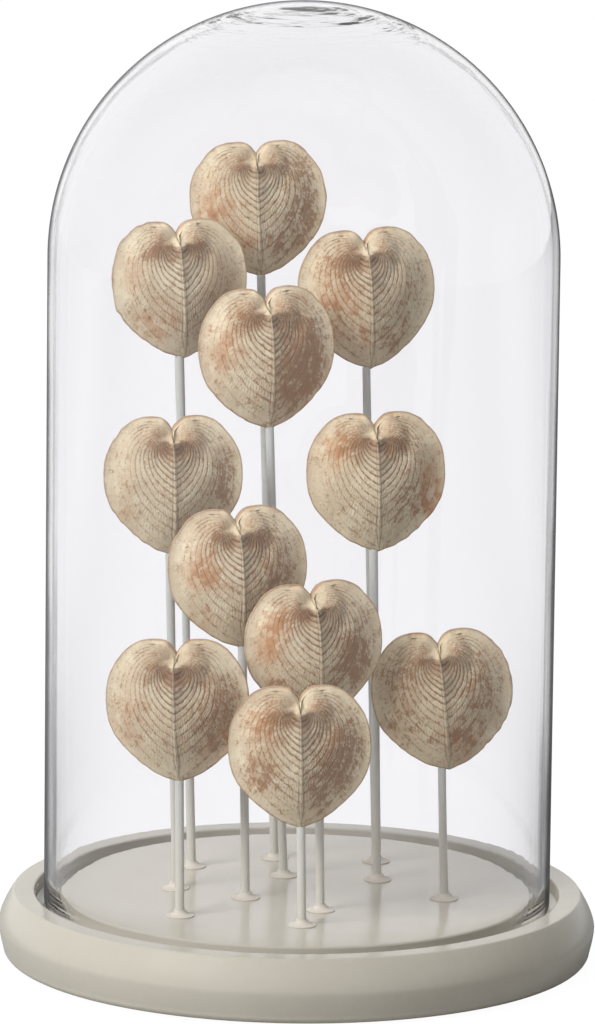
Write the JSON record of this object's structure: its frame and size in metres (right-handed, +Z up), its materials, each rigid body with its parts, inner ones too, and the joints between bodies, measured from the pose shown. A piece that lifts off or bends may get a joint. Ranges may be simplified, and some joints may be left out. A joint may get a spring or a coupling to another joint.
{
  "type": "glass cloche",
  "caption": "Tall round-topped glass cloche on a turned cream-painted wooden base, with heart-shaped cockle shells on thin rods under the glass; the dome lifts off.",
  "frame": {"origin": "on the table under the middle of the round base, at the underside of the felt pads", "axes": "+Z up along the dome's axis and the way that it lifts; -Y towards the front, which the shells face; +X to the right seen from the front"},
  "size_m": [0.24, 0.24, 0.3869],
  "materials": {
    "cream_paint": "satin cream paint over turned wood",
    "clear_glass": "clear, blown and polished",
    "felt": "pressed felt",
    "rod_paint": "satin off-white paint",
    "collar_paint": "matt cream",
    "shell": "matt natural shell with brown and orange markings"
  },
  "bodies": {
    "base": {"turned_base": "cream_paint", "felt_pad_1": "felt", "felt_pad_2": "felt", "felt_pad_3": "felt", "felt_pad_4": "felt", "rod_01": "rod_paint", "rod_02": "rod_paint", "rod_03": "rod_paint", "rod_04": "rod_paint", "rod_05": "rod_paint", "rod_06": "rod_paint", "rod_07": "rod_paint", "rod_08": "rod_paint", "rod_09": "rod_paint", "rod_10": "rod_paint", "rod_11": "rod_paint", "collar_01": "collar_paint", "collar_02": "collar_paint", "collar_03": "collar_paint", "collar_04": "collar_paint", "collar_05": "collar_paint", "collar_06": "collar_paint", "collar_07": "collar_paint", "collar_08": "collar_paint", "collar_09": "collar_paint", "collar_10": "collar_paint", "collar_11": "collar_paint", "shell_01_left_valve": "shell", "shell_01_right_valve": "shell", "shell_02_left_valve": "shell", "shell_02_right_valve": "shell", "shell_03_left_valve": "shell", "shell_03_right_valve": "shell", "shell_04_left_valve": "shell", "shell_04_right_valve": "shell", "shell_05_left_valve": "shell", "shell_05_right_valve": "shell", "shell_06_left_valve": "shell", "shell_06_right_valve": "shell", "shell_07_left_valve": "shell", "shell_07_right_valve": "shell", "shell_08_left_valve": "shell", "shell_08_right_valve": "shell", "shell_09_left_valve": "shell", "shell_09_right_valve": "shell", "shell_10_left_valve": "shell", "shell_10_right_valve": "shell", "shell_11_left_valve": "shell", "shell_11_right_valve": "shell"},
    "dome": {"glass_dome": "clear_glass"}
  },
  "joints": [
    {"name": "dome_lift", "type": "slide", "parent": "base", "child": "dome", "axis": [0, 0, 1], "range_m": [0, 0.34]}
  ]
}
